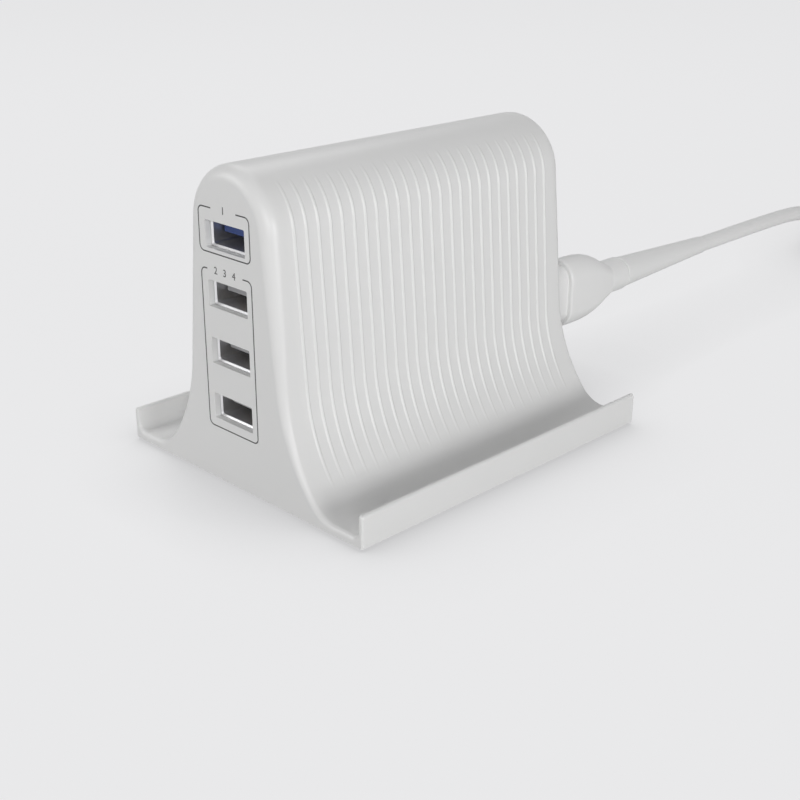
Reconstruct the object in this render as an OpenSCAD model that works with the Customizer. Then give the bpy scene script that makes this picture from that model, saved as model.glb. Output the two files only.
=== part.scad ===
// Desktop charger with four stacked sockets, two phone trays and a mains cord

/* [Housing] */
// Width over the two tray lips
body_w = 83; // [78:1:92]
// Depth from the port face to the cord face
body_d = 97; // [92:1:110]
// Height of the tower above the underside of the housing
tower_h = 75; // [74:1:82]
// Radius of the round top of the tower
crown_r = 14; // [13.6:0.1:15]
// Lean of the tower sides from upright, in degrees
side_lean = 4.6; // [3.5:0.1:5.5]
// Radius of the long sweep from the tower side to the tray
sweep_r = 40; // [34:1:44]
// Radius of the short bend between the sweep and the tray floor
toe_r = 8.5; // [7:0.5:10]
// Lean at which the sweep passes into the short bend, in degrees
toe_lean = 40; // [36:1:44]
// Thickness of the tray floor
tray_t = 2.1; // [1.8:0.1:2.6]
// Height of the tray lips
lip_h = 7.8; // [6:0.2:10]
// Thickness of the tray lips
lip_t = 1.4; // [1.2:0.1:2]
// Inner radius between the tray floor and its lip
lip_corner_r = 2; // [1.5:0.1:2.5]
// Thickness of the tower walls
wall_t = 2; // [1.6:0.1:2.2]
// Thickness of the front and rear walls
end_wall_t = 2; // [1.8:0.1:2.4]
// Rounding of the front and rear edges down at the trays
edge_r_low = 1.3; // [1:0.1:1.6]
// Rounding of the front and rear edges at the crown
edge_r_top = 3.4; // [2.6:0.1:4]
// Rounding of the lip ends
lip_edge_r = 0.6; // [0.3:0.05:0.65]

/* [Ribs] */
// Number of ribs along each side
rib_count = 25; // [21:1:26]
// Distance from one rib to the next
rib_pitch = 3.45; // [3.2:0.01:3.5]
// Width of one rib
rib_w = 0.9; // [0.6:0.1:1.2]
// How far a rib stands proud of the side
rib_relief = 0.35; // [0.25:0.05:0.5]
// How much smaller than the crown the ribs bend, so that they fade out over the top
rib_fade = 0.5; // [0.4:0.05:0.7]
// Lean of the sweep at which a rib sinks into the surface, in degrees
rib_foot_lean = 37; // [35:1:38]

/* [Ports] */
// Number of sockets, one above the other
port_count = 4; // [3:1:4]
// Distance from one socket to the next
port_pitch = 13.5; // [12.5:0.1:13.8]
// Height of the lowest socket's centre above the underside
port_low_z = 18.7; // [17:0.1:19.5]
// Sideways place of the sockets
port_x = -0.7; // [-1:0.1:0]
// Width inside the metal socket
socket_w = 12.5; // [12.3:0.1:12.8]
// Height inside the metal socket
socket_h = 5.12; // [5:0.02:5.3]
// Thickness of the socket's sheet metal
socket_sheet_t = 0.3; // [0.25:0.05:0.35]
// Length of the metal socket
socket_l = 13.6; // [13:0.1:15]
// How far the metal socket lies behind the port face
socket_setback = 1.5; // [1:0.1:1.7]
// Gap between the metal socket and the opening in the housing
socket_gap = 0.25; // [0.2:0.05:0.4]
// How far the contact tongue lies behind the port face
tongue_setback = 4.4; // [4.3:0.1:5]
// Width of the contact tongue
tongue_w = 11.1; // [10.6:0.1:11.3]
// Thickness of the contact tongue
tongue_t = 1.84; // [1.7:0.02:2]

/* [Base] */
// How far the rubber feet stand out below the housing
foot_stand = 0.8; // [0.6:0.1:1.5]
// Diameter of a rubber foot
foot_d = 9; // [7:0.5:10]
// Depth of the pocket that a foot sits in
foot_pocket = 0.6; // [0.4:0.1:0.8]
// Thickness of the base plate
base_t = 2; // [1.8:0.1:2.4]
// Width of the base plate
base_w = 46; // [44:0.5:48]
// Gap between the base plate and the housing
base_gap = 0.15; // [0.1:0.05:0.3]
// Diameter of the screw thread
screw_d = 2.6; // [2.5:0.1:3]
// Diameter of the screw head
screw_head_d = 5; // [4.6:0.1:5.4]
// Height of the screw head
screw_head_t = 1; // [0.8:0.1:1.2]
// Length of the screw
screw_l = 7; // [6:0.5:7]

/* [Boards] */
// Thickness of the circuit boards
board_t = 1.6; // [1.2:0.1:1.6]
// Width of the socket board
port_board_w = 18.6; // [17.5:0.1:19]
// Sideways place of the main board's component side
main_board_x = 12; // [11.6:0.1:12.1]
// Height of the main board
main_board_h = 38; // [36:0.5:39]
// Length of the main board
main_board_l = 77; // [73:0.5:78.5]

/* [Components] */
// Length of the transformer core along the board
core_l = 20; // [18:0.5:20]
// Height of the transformer core across the board
core_h = 17; // [15:0.5:17]
// How far the transformer core stands out
core_t = 15; // [13:0.5:15.5]
// Diameter of the large capacitor
bulk_d = 13; // [12:0.5:13]
// Length of the large capacitor
bulk_l = 20; // [16:0.5:21]
// Diameter of an output capacitor
output_d = 8; // [6:0.5:8]
// Length of an output capacitor
output_l = 14; // [11:0.5:16]
// Length of the filter choke along the board
choke_l = 14; // [12:0.5:14]
// Height of a filter choke coil
choke_coil_t = 9; // [8:0.5:10]
// Length of the film capacitor along the board
film_l = 13; // [10:0.5:13]
// How far the film capacitor stands out
film_h = 11; // [8:0.5:12]
// Diameter of the disc capacitor
disc_d = 7.6; // [6:0.2:7.6]
// Diameter of the fuse
fuse_d = 8.4; // [7.5:0.1:8.5]
// How far the fuse stands out
fuse_h = 8; // [7:0.5:9]
// Length of the heat sink along the board
heat_sink_l = 18; // [14:0.5:18]
// How far the heat sink stands out
heat_sink_h = 19; // [17.5:0.5:20]

/* [Mains inlet and plug] */
// Distance between the two mains pins
pin_pitch = 8.6; // [8.6:0.1:8.8]
// Diameter of a mains pin
pin_d = 2.4; // [2.3:0.05:2.5]
// Height of the inlet's centre above the underside
inlet_z = 24.5; // [23:0.5:26]
// Height of the plug's nose
nose_h = 16.4; // [16:0.1:16.8]
// Width of the plug's nose
nose_w = 7.8; // [7.6:0.1:8]
// Length of the plug's nose
nose_l = 15.2; // [14:0.1:16]
// Gap between the nose and the inlet around it
nose_gap = 0.3; // [0.2:0.05:0.4]
// Wall of the inlet around the nose
inlet_wall = 1.5; // [1.3:0.1:1.6]
// Depth of the inlet's hollow
inlet_depth = 12.4; // [12:0.1:13]
// Length of the whole inlet
inlet_l = 18; // [17:0.5:19]
// How far the plug is pushed into the inlet
plug_engage = 4; // [3:0.5:12]
// Height of the plug's grip
grip_h = 19.2; // [18.8:0.1:20]
// Width of the plug's grip
grip_w = 10.6; // [10.2:0.1:11.2]
// Length of the plug's grip
grip_l = 20; // [18:0.5:24]
// Length of the round collar behind the grip
collar_l = 8; // [6:0.5:10]
// Diameter of the collar
collar_d = 9.6; // [9:0.1:10]
// Length of the strain relief's taper behind the collar
taper_l = 44; // [30:1:50]
// Diameter of the strain relief where its taper starts
taper_d = 8.2; // [7:0.1:8.6]
// Diameter of the cord
cord_d = 4.8; // [4.6:0.1:5]

/* [Mains plug] */
// Length of the mains plug's grip
mains_l = 36; // [32:1:42]
// Width of the mains plug across its blades
mains_w = 26; // [24:0.5:30]
// Thickness of the mains plug
mains_t = 17; // [15:0.5:20]
// Distance between the two blades
blade_pitch = 12.7; // [12.6:0.1:12.8]
// Height of a blade's flat side
blade_h = 6.3; // [6.1:0.1:6.5]
// Thickness of a blade
blade_t = 1.5; // [1.4:0.1:1.6]
// Length of a blade outside the grip
blade_l = 16; // [15:0.5:18]

/* [Hidden] */

$fn = 64;
eps = 0.01;

// Heights and depths of the whole part
base_z = foot_stand;
front_y = -body_d / 2;
rear_y = body_d / 2;

// Points of the right-hand outline, in X and Z above the underside
crown_z = tower_h - crown_r;
lean_n = [cos(side_lean), sin(side_lean)];
side_top = [0, crown_z] + crown_r * lean_n;
toe_z = tray_t + toe_r * (1 - sin(toe_lean));
side_low_z = toe_z + sweep_r * (sin(toe_lean) - sin(side_lean));
side_low = [side_top.x + (side_top.y - side_low_z) * tan(side_lean), side_low_z];
sweep_c = side_low + sweep_r * lean_n;
sweep_end = sweep_c - sweep_r * [cos(toe_lean), sin(toe_lean)];
toe_c = sweep_end + toe_r * [cos(toe_lean), sin(toe_lean)];
toe_end = [toe_c.x, tray_t];
lip_in_x = body_w / 2 - lip_t;

// Rib outline: a smaller circle over the crown and a wider sweep, both sunk at their ends
rib_crown_r = crown_r - rib_fade;
rib_crown_c = [(rib_relief + rib_fade) / cos(side_lean), crown_z];
rib_sweep_shift = rib_relief / (1 - cos(rib_foot_lean - side_lean));
rib_sweep_r = sweep_r + rib_sweep_shift - rib_relief;
rib_sweep_c = sweep_c + rib_sweep_shift * lean_n;
rib_crown_end = 22;
rib_sunk_lean = 39;

// Sockets
opening_w = socket_w + 2 * socket_sheet_t + 2 * socket_gap;
opening_h = socket_h + 2 * socket_sheet_t + 2 * socket_gap;
tongue_drop = 0.9;
block_l = 3;
block_gap = 0.1;
block_y = socket_setback + socket_l - block_l;
spring_x = 3;
spring_y = 4.6;
spring_w = 1.8;
spring_l = 4.2;
contact_x = [-3.5, -1, 1, 3.5];
contact_w = 1;
contact_t = 0.2;
contact_inset = 1;
port_board_y = front_y + socket_setback + socket_l;
port_z = [for (i = [0:port_count - 1]) port_low_z + (port_count - 1 - i) * port_pitch];

// Base plate and its screws
base_l = body_d - 2 * end_wall_t - 2 * base_gap;
screw_x = base_w / 2 - 4.5;
screw_y = rear_y - end_wall_t - 5.5;
post_d = 6;
post_top = 10;
web_t = 1.2;
web_top = 6.2;
web_bite = 0.8;
vent_count = 13;
vent_pitch = 4;
vent_w = 2;
vent_l = 20;
foot_x = base_w / 2 - 5;
foot_y = rear_y - 17.5;

// Boards
board_low_z = base_t;
port_board_top = min(tower_h - 9.5, crown_z + 5);
main_board_rear = rear_y - end_wall_t - 1;
link_x = -1.7;
link_z = 4;
link_reach = 2.1;
link_l = main_board_rear - main_board_l + link_reach - port_board_y - board_t;
link_h = 7;

// Parts on the main board: places from its rear end and above the underside, and lesser sizes
transformer_at = [47.5, 22];
bobbin_t = 1.4;
core_leg = 2.6;
core_window = 4.4;
core_back = 2.4;
winding_end = 1.5;
bulk_at = [25.5, 31];
output_at = [66.5, 9];
output_pitch = 10;
choke_at = [28.5, 12];
choke_leg = 3;
choke_wrap = 1.8;
film_at = [8.5, 37.3];
film_t = 4.8;
disc_at = [34.5, 35.4];
disc_t = 3;
disc_stand = 1;
fuse_at = [7.5, 8];
bridge_at = [19.5, 19.5];
bridge_w = 8;
bridge_t = 3.4;
bridge_h = 8;
sink_at = [53.5, 37.8];
sink_t = 1.5;
transistor_w = 10;
transistor_t = 4.4;
transistor_h = 15;
transistor_stand = 2;
chip_at = [41.5, 34.5];
chip_w = 4;
chip_l = 5;
chip_t = 1.6;

// Inlet and plug
inlet_x = main_board_x - nose_w / 2 - nose_gap - inlet_wall;
inlet_face_y = rear_y - 0.4;
inlet_gap = 0.2;
pin_gap = 0.1;
nose_hole_gap = 0.5;
pin_setback = 2.8;
pin_tail = 2;
sleeve_setback = 0.5;
nose_slot_l = 9;
nose_slot_h = 3;
nose_slot_d = 0.9;
plug_face_y = inlet_face_y - plug_engage;
grip_y = plug_face_y + nose_l;
collar_y = grip_y + grip_l;
cord_y = collar_y + collar_l + taper_l;
plug_z = base_z + inlet_z;

// Coil: turns beside each other in a lower layer and one fewer in the upper
coil_x = 25;
coil_y = 262;
coil_mid_r = 27;
coil_turns_low = 4;
coil_turns_high = 3;
coil_low_w = coil_turns_low * cord_d;
coil_high_w = coil_turns_high * cord_d;
coil_in_r = coil_mid_r - coil_low_w / 2;
tie_t = 0.6;
tie_w = 9;
tie_gap = 0.2;
cord_gap = 0.05;
tie_angle = 300;
coil_z = tie_t + tie_gap;
coil_side_x = coil_x - coil_in_r - coil_low_w - cord_d / 2 - cord_gap;

// Route of the cord from the strain relief to the side of the coil
cord_route = concat(
    [[inlet_x, cord_y + cord_gap, plug_z], [inlet_x, cord_y + 10, plug_z]],
    [
        [6.3, 154, 25.4], [6.3, 167, 25.4], [6.3, 179, 25.3], [6.3, 190, 24.8], [5.9, 200, 23.3],
        [4.3, 210, 20.4], [1.2, 220, 16.2], [-3.2, 230, 11.4], [-8, 238, 7.7], [-11.8, 246, 5],
        [-13.6, 254, 3.6]
    ],
    [
        [coil_side_x, coil_y - 3, coil_z + cord_d / 2],
        [coil_side_x, coil_y, coil_z + cord_d / 2]
    ]
);

// Mains plug: it lies on its flat side at the end of the tail
mains_at = [17, 319, mains_t / 2];
mains_turn = 0;
mains_r = 3;
mains_neck = [10, 9];
blade_hole_d = 3;

// Route of the cord's tail from the top of the coil to the mains plug
tail_route = concat(
    [[-10.6, 252.5, coil_z + 1.5 * cord_d]],
    [
        [-13.2, 262, 8.1], [-15.3, 272, 8], [-16, 282, 7], [-15, 291.6, 5.4], [-12.2, 300.5, 4.1],
        [-7.8, 308.2, 3.6], [-2, 314, 4.4], [4.8, 317.7, 6.4]
    ],
    [mains_at - 5 * [cos(mains_turn), sin(mains_turn), 0], mains_at]
);

// Outline points and cross-sections

function lean_dir(a) = [cos(a), sin(a)];

// The part of a disc that lies between a chord from a to b and its arc
module disc_segment(centre, r, a, b) {
    d = b - a;
    n = [-d.y, d.x] / norm(d);
    side = (centre - a) * n > 0 ? -1 : 1;
    intersection() {
        translate(centre) circle(r);
        polygon([a, b, b + side * n * r, a + side * n * r]);
    }
}

// Right and left half of the tower, drawn with its surface moved outwards by grow
module tower_section(grow = 0) {
    top = side_top + grow * lean_n;
    low = side_low + grow * lean_n;
    end = sweep_c - (sweep_r - grow) * lean_dir(toe_lean);
    foot = [toe_end.x, tray_t + grow];
    difference() {
        polygon(concat(
            [top, low, end, foot, [foot.x, 0]],
            [[-foot.x, 0], [-foot.x, foot.y], [-end.x, end.y], [-low.x, low.y], [-top.x, top.y]]
        ));
        for (m = [0, 1]) mirror([m, 0]) {
            disc_segment(sweep_c, sweep_r - grow, low, end);
            disc_segment(toe_c, toe_r - grow, end, foot);
        }
    }
    disc_segment([0, crown_z], crown_r + grow, top, [-top.x, top.y]);
}

// One phone tray: floor, lip with a round top and a radius between them
module tray_section() {
    corner = [lip_in_x, tray_t];
    difference() {
        union() {
            translate([toe_end.x - 2, 0]) square([body_w / 2 - toe_end.x + 2, tray_t]);
            translate([lip_in_x, 0]) square([lip_t, lip_h - lip_t / 2]);
            translate([lip_in_x + lip_t / 2, lip_h - lip_t / 2]) circle(d = lip_t);
            polygon([
                corner - [lip_corner_r, 0.5], corner - [lip_corner_r, 0],
                corner + [0, lip_corner_r], corner + [0.5, lip_corner_r], corner + [0.5, -0.5]
            ]);
        }
        disc_segment(
            corner + [-lip_corner_r, lip_corner_r], lip_corner_r,
            corner - [lip_corner_r, 0], corner + [0, lip_corner_r]
        );
    }
}

module housing_section() {
    tower_section();
    for (m = [0, 1]) mirror([m, 0]) tray_section();
}

// One rib: it stands proud along the side and sinks in at the crown and near the tray
module rib_section() {
    start = rib_crown_c + rib_crown_r * [sin(rib_crown_end), cos(rib_crown_end)];
    top = rib_crown_c + rib_crown_r * lean_n;
    low = side_low + rib_relief * lean_n;
    end = rib_sweep_c - rib_sweep_r * lean_dir(rib_sunk_lean);
    difference() {
        polygon([[0, start.y], start, top, low, end, [0, end.y]]);
        disc_segment(rib_sweep_c, rib_sweep_r, low, end);
    }
    disc_segment(rib_crown_c, rib_crown_r, start, top);
}

// Rounding of the front and rear edges

function edge_r(z) = edge_r_low
    + (edge_r_top - edge_r_low) * max(0, min(1, (z - toe_z) / (tower_h - crown_r - toe_z)));

// The stations of the crown end short of its middle, where one more is set by itself
edge_crown_end = 83;

// Each station of the rounding holds its place, its outward direction and its radius
function arc_stations(centre, r, from, to, steps, hollow) = [
    for (i = [0:steps])
        let (
            a = from + (to - from) * i / steps,
            n = lean_dir(a),
            p = centre + (hollow ? -r : r) * n
        )
        [p, n, edge_r(p.y)]
];

edge_half = concat(
    [for (z = [-1, lip_h / 2]) [[body_w / 2, z], [1, 0], lip_edge_r]],
    [for (a = [0:45:180]) [[body_w / 2 - lip_t / 2, lip_h - lip_t / 2] + lip_t / 2 * lean_dir(a),
        lean_dir(a), lip_edge_r]],
    [for (a = [0:30:90]) [[lip_in_x - lip_corner_r, tray_t + lip_corner_r] + lip_corner_r * lean_dir(-a),
        -lean_dir(-a), lip_edge_r + (edge_r_low - lip_edge_r) * a / 90]],
    arc_stations(toe_c, toe_r, 90, toe_lean, 5, true),
    [for (s = arc_stations(sweep_c, sweep_r, toe_lean, side_lean, 6, true)) if (s[0].y > toe_z + 1) s],
    [for (t = [0.25, 0.5, 0.75]) let (p = side_low + (side_top - side_low) * t) [p, lean_n, edge_r(p.y)]],
    arc_stations([0, crown_z], crown_r, side_lean, edge_crown_end, 11, false)
);
edge_path = concat(
    edge_half,
    [[[0, tower_h], [0, 1], edge_r_top]],
    [for (i = [len(edge_half) - 1:-1:0]) let (s = edge_half[i])
        [[-s[0].x, s[0].y], [-s[1].x, s[1].y], s[2]]]
);

// What the rounding takes off the front face, as one ring of points for each station
edge_steps = 4;
edge_margin = 0.8;
edge_lift = 0.02;
function edge_ring(s) = let (r = s[2], p = s[0], n = s[1]) concat(
    [[-r, -edge_margin]],
    [for (i = [0:edge_steps]) let (t = 90 * i / edge_steps)
        [-r + r * sin(t) + edge_lift, r - r * cos(t) - edge_lift]],
    [[edge_margin, r - edge_lift], [edge_margin, -edge_margin]]
);
function edge_points(s) = [
    for (q = edge_ring(s)) [s[0].x + s[1].x * q[0], front_y + q[1], s[0].y + s[1].y * q[0]]
];

// Faces of a tube made of rings that hold the same number of points
function tube_faces(rings, n) = concat(
    [[for (j = [n - 1:-1:0]) j]],
    [for (i = [0:rings - 2], j = [0:n - 1])
        let (a = i * n + j, b = i * n + (j + 1) % n, c = b + n, d = a + n)
        each [[a, b, c], [a, c, d]]],
    [[for (j = [0:n - 1]) (rings - 1) * n + j]]
);

module edge_cutter() {
    n = edge_steps + 4;
    points = [for (s = edge_path) each edge_points(s)];
    polyhedron(points, tube_faces(len(edge_path), n));
}

// Extrudes an outline in X and Z along Y, from y0 over a length
module along_y(y0, length) {
    translate([0, y0 + length, 0]) rotate([90, 0, 0]) linear_extrude(length) children();
}

// The hollow of the tower, closed at both ends by the front and rear walls
module housing_hollow() {
    along_y(front_y + end_wall_t, body_d - 2 * end_wall_t) intersection() {
        tower_section(-wall_t);
        translate([-base_w / 2, -1]) square([base_w, tower_h]);
    }
}

module screw_posts() {
    for (x = [-screw_x, screw_x], y = [-screw_y, screw_y])
        translate([x, y, base_t]) cylinder(d = post_d, h = post_top - base_t);
    for (m = [0, 1], y = [-screw_y, screw_y]) mirror([m, 0, 0])
        translate([screw_x, y - web_t / 2, base_t])
            cube([base_w / 2 + web_bite - screw_x, web_t, web_top - base_t]);
}

module housing_blank() {
    along_y(front_y, body_d) housing_section();
    for (i = [0:rib_count - 1])
        along_y((i - (rib_count - 1) / 2) * rib_pitch - rib_w / 2, rib_w)
            for (m = [0, 1]) mirror([m, 0]) rib_section();
}

// The outline of the plug's nose: two round ends and a waist between the pins
module nose_section(grow = 0) {
    r = nose_w / 2 + grow;
    off = nose_h / 2 - nose_w / 2;
    for (s = [-1, 1]) translate([0, s * off]) circle(r);
    square([2 * r, 2 * off], center = true);
}

module housing() color("whitesmoke") translate([0, 0, base_z]) difference() {
    union() {
        difference() {
            housing_blank();
            housing_hollow();
        }
        screw_posts();
    }
    edge_cutter();
    mirror([0, 1, 0]) edge_cutter();
    for (z = port_z) translate([port_x - opening_w / 2, front_y - 1, z - opening_h / 2])
        cube([opening_w, end_wall_t + 2, opening_h]);
    translate([inlet_x, 0, inlet_z]) along_y(rear_y - end_wall_t - 1, end_wall_t + 2)
        nose_section(nose_gap + inlet_wall + inlet_gap);
    translate([-base_w / 2, front_y + end_wall_t, -1])
        cube([base_w, body_d - 2 * end_wall_t, base_t + 1]);
    for (x = [-screw_x, screw_x], y = [-screw_y, screw_y])
        translate([x, y, -1]) cylinder(d = screw_d - 0.3, h = screw_l + 2);
}

// Base plate with its screws and feet
module base_plate() color("gainsboro") translate([0, 0, base_z]) difference() {
    translate([-base_w / 2 + base_gap, front_y + end_wall_t + base_gap, 0])
        cube([base_w - 2 * base_gap, base_l, base_t]);
    for (x = [-screw_x, screw_x], y = [-screw_y, screw_y]) translate([x, y, 0]) {
        translate([0, 0, -1]) cylinder(d = screw_d + 0.4, h = base_t + 2);
        translate([0, 0, -1]) cylinder(d = screw_head_d + 0.4, h = 1 + screw_head_t);
    }
    for (x = [-foot_x, foot_x], y = [-foot_y, foot_y])
        translate([x, y, -1]) cylinder(d = foot_d + 0.2, h = foot_pocket + 1);
    for (i = [0:vent_count - 1])
        translate([-vent_l / 2, (i - (vent_count - 1) / 2) * vent_pitch - vent_w / 2, -1])
            cube([vent_l, vent_w, base_t + 2]);
}

module base_screws() color("silver")
    for (x = [-screw_x, screw_x], y = [-screw_y, screw_y]) translate([x, y, base_z]) difference() {
        union() {
            cylinder(d = screw_d - 0.3, h = screw_l);
            cylinder(d = screw_head_d, h = screw_head_t);
        }
        translate([0, 0, -0.5]) cylinder(d = 2.4, h = 1, $fn = 6);
    }

module rubber_feet() color("dimgray")
    for (x = [-foot_x, foot_x], y = [-foot_y, foot_y]) translate([x, y, 0]) {
        cylinder(d1 = foot_d - 1, d2 = foot_d, h = 0.4);
        translate([0, 0, 0.4]) cylinder(d = foot_d, h = foot_stand + foot_pocket - 0.4);
    }

// Sockets: sheet-metal shell, plastic tongue on a rear block and four contacts
module port_shell(i) color("silver")
    translate([port_x, front_y + socket_setback, base_z + port_z[i - 1]]) difference() {
        translate([-socket_w / 2 - socket_sheet_t, 0, -socket_h / 2 - socket_sheet_t])
            cube([socket_w + 2 * socket_sheet_t, socket_l, socket_h + 2 * socket_sheet_t]);
        translate([-socket_w / 2, -1, -socket_h / 2])
            cube([socket_w, socket_l + 2, socket_h]);
        for (x = [-spring_x, spring_x]) translate([x - spring_w / 2, spring_y, -socket_h])
            cube([spring_w, spring_l, 2 * socket_h]);
    }

module port_tongue(i) color(i == 1 ? "royalblue" : "lightgray")
    translate([port_x, front_y, base_z + port_z[i - 1]]) {
        top = socket_h / 2 - tongue_drop;
        translate([-tongue_w / 2, tongue_setback, top - tongue_t])
            cube([tongue_w, block_y - tongue_setback + eps, tongue_t]);
        translate([-socket_w / 2 + block_gap, block_y, -socket_h / 2 + block_gap])
            cube([socket_w - 2 * block_gap, block_l, socket_h - 2 * block_gap]);
    }

module port_contacts(i) color("gold")
    translate([port_x, front_y, base_z + port_z[i - 1]])
        for (x = contact_x) translate([
            x - contact_w / 2, tongue_setback + contact_inset,
            socket_h / 2 - tongue_drop - tongue_t - contact_t
        ])
            cube([contact_w, block_y - tongue_setback - 2 * contact_inset, contact_t]);

module port_board() color("darkgreen") translate([port_x, port_board_y, base_z])
    translate([-port_board_w / 2, 0, board_low_z])
        cube([port_board_w, board_t, port_board_top - board_low_z]);

// Main board on its edge, with its parts facing the middle of the tower
module main_board() color("darkgreen") translate([0, 0, base_z])
    translate([main_board_x, main_board_rear - main_board_l, board_low_z])
        cube([board_t, main_board_l, main_board_h]);

// Places a part on the component side, with its foot on the board and +Z away from it
module on_main_board(at) {
    translate([main_board_x, main_board_rear - at[0], base_z + at[1]]) rotate([0, -90, 0]) children();
}

module board_link() color("dimgray") translate([link_x, port_board_y + board_t, base_z + link_z])
    cube([main_board_x - link_x, link_l, link_h]);

module transformer_core() color("dimgray") on_main_board(transformer_at)
    translate([-core_h / 2, -core_l / 2, bobbin_t]) difference() {
        cube([core_h, core_l, core_t]);
        for (y = [core_leg, core_l - core_leg - core_window])
            translate([-1, y, core_back])
                cube([core_h + 2, core_window, core_t - 2 * core_back]);
    }

module transformer_bobbin() color("khaki") on_main_board(transformer_at)
    translate([-core_h / 2, -core_l / 2, 0]) cube([core_h, core_l, bobbin_t]);

module transformer_winding() color("gold") on_main_board(transformer_at) {
    out_l = core_l - 2 * core_leg - 0.4;
    in_l = core_l - 2 * core_leg - 2 * core_window + 0.2;
    difference() {
        translate([-core_h / 2 - winding_end, -out_l / 2, bobbin_t + core_back])
            cube([core_h + 2 * winding_end, out_l, core_t - 2 * core_back - 0.3]);
        translate([-core_h / 2 - 0.1, -in_l / 2, 0]) cube([core_h + 0.2, in_l, core_t + 3]);
    }
}

module bulk_capacitor() color("black") on_main_board(bulk_at) cylinder(d = bulk_d, h = bulk_l);

module output_capacitors() color("steelblue") for (i = [0:2])
    on_main_board(output_at + [0, i * output_pitch]) cylinder(d = output_d, h = output_l);

// Filter choke: a square ring core with one coil on each long leg
module filter_choke_core() color("dimgray") on_main_board(choke_at)
    translate([0, 0, choke_coil_t / 2]) difference() {
        cube([4 * choke_leg, choke_l, choke_leg], center = true);
        cube([2 * choke_leg, choke_l - 2 * choke_leg, choke_leg + 2], center = true);
    }

module filter_choke_coils() color("orangered") on_main_board(choke_at)
    for (s = [-1, 1]) translate([s * 1.5 * choke_leg, 0, choke_coil_t / 2]) difference() {
        cube([choke_leg + 2 * choke_wrap, choke_l - 2 * choke_leg - 0.4, choke_coil_t], center = true);
        cube([choke_leg, choke_l, choke_leg], center = true);
    }

module film_capacitor() color("gold") on_main_board(film_at)
    translate([-film_t / 2, -film_l / 2, 0]) cube([film_t, film_l, film_h]);

module disc_capacitor() color("royalblue") on_main_board(disc_at) {
    translate([0, -disc_t / 2, disc_stand + disc_d / 2]) rotate([-90, 0, 0])
        cylinder(d = disc_d, h = disc_t);
    for (x = [-2.4, 1.6]) translate([x, -0.4, 0]) cube([0.8, 0.8, disc_stand + disc_d / 2]);
}

module fuse() color("black") on_main_board(fuse_at) cylinder(d = fuse_d, h = fuse_h);

module bridge_rectifier() color("black") on_main_board(bridge_at)
    translate([-bridge_w / 2, -bridge_t / 2, 0]) cube([bridge_w, bridge_t, bridge_h]);

module power_transistor() color("black") on_main_board(sink_at)
    translate([-transistor_t, -transistor_w / 2, transistor_stand])
        cube([transistor_t, transistor_w, transistor_h]);

module heat_sink() color("silver") on_main_board(sink_at)
    translate([0, -heat_sink_l / 2, 0]) cube([sink_t, heat_sink_l, heat_sink_h]);

module controller_chip() color("black") on_main_board(chip_at)
    translate([-chip_w / 2, -chip_l / 2, 0]) cube([chip_w, chip_l, chip_t]);

// Mains inlet: a moulded cup with two pins
module inlet_body() color("black") translate([inlet_x, 0, base_z + inlet_z]) difference() {
    along_y(inlet_face_y - inlet_l, inlet_l) nose_section(nose_gap + inlet_wall);
    along_y(inlet_face_y - inlet_depth, inlet_depth + 1) nose_section(nose_gap);
    for (s = [-1, 1]) translate([0, rear_y, s * pin_pitch / 2])
        rotate([90, 0, 0]) cylinder(d = pin_d + pin_gap, h = body_d / 2);
}

module inlet_pins() color("silver")
    for (s = [-1, 1]) translate([inlet_x, inlet_face_y - pin_setback, plug_z + s * pin_pitch / 2])
        rotate([90, 0, 0]) cylinder(d = pin_d, h = inlet_l - pin_setback + pin_tail);

// Plug on the charger's end of the cord
module plug_nose() color("whitesmoke") translate([inlet_x, 0, plug_z]) difference() {
    along_y(plug_face_y, nose_l) nose_section();
    for (s = [-1, 1]) translate([0, plug_face_y - 1, s * pin_pitch / 2])
        rotate([-90, 0, 0]) cylinder(d = pin_d + nose_hole_gap, h = nose_l - 1);
    for (s = [-1, 1]) translate([s * nose_w / 2, plug_face_y, 0])
        cube([2 * nose_slot_d, 2 * nose_slot_l, nose_slot_h], center = true);
}

module plug_contacts() color("gold") translate([inlet_x, 0, plug_z])
    for (s = [-1, 1]) translate([0, plug_face_y + sleeve_setback, s * pin_pitch / 2])
        rotate([-90, 0, 0]) difference() {
            cylinder(d = pin_d + nose_hole_gap - pin_gap, h = nose_l - 4);
            translate([0, 0, -1]) cylinder(d = pin_d + pin_gap, h = nose_l - 2);
        }

// An oval outline, w wide and h high
module oval(w, h) {
    off = (h - w) / 2;
    for (s = [-1, 1]) translate([0, s * off]) circle(w / 2);
    square([w, 2 * off], center = true);
}

module grip_slice(y, w, h) {
    along_y(y, 0.1) oval(w, h);
}

module plug_grip() color("whitesmoke") translate([inlet_x, 0, plug_z]) union() {
    along_y(grip_y, grip_l * 0.3) oval(grip_w, grip_h);
    for (i = [0:3]) let (
        t = [0.3, 0.5, 0.68, 0.84, 0.995],
        w = [grip_w, grip_w, grip_w * 0.98, grip_w * 0.95, collar_d - 0.2],
        h = [grip_h, grip_h * 0.97, grip_h * 0.88, grip_h * 0.72, collar_d + 0.8]
    )
    hull() {
        grip_slice(grip_y + grip_l * t[i], w[i], h[i], $fn = 32);
        grip_slice(grip_y + grip_l * t[i + 1], w[i + 1], h[i + 1], $fn = 32);
    }
}

module strain_relief() color("whitesmoke") translate([inlet_x, collar_y, plug_z]) rotate([-90, 0, 0]) {
    cylinder(d = collar_d, h = collar_l);
    translate([0, 0, collar_l]) cylinder(d1 = taper_d, d2 = cord_d + 0.6, h = taper_l);
}

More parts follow.
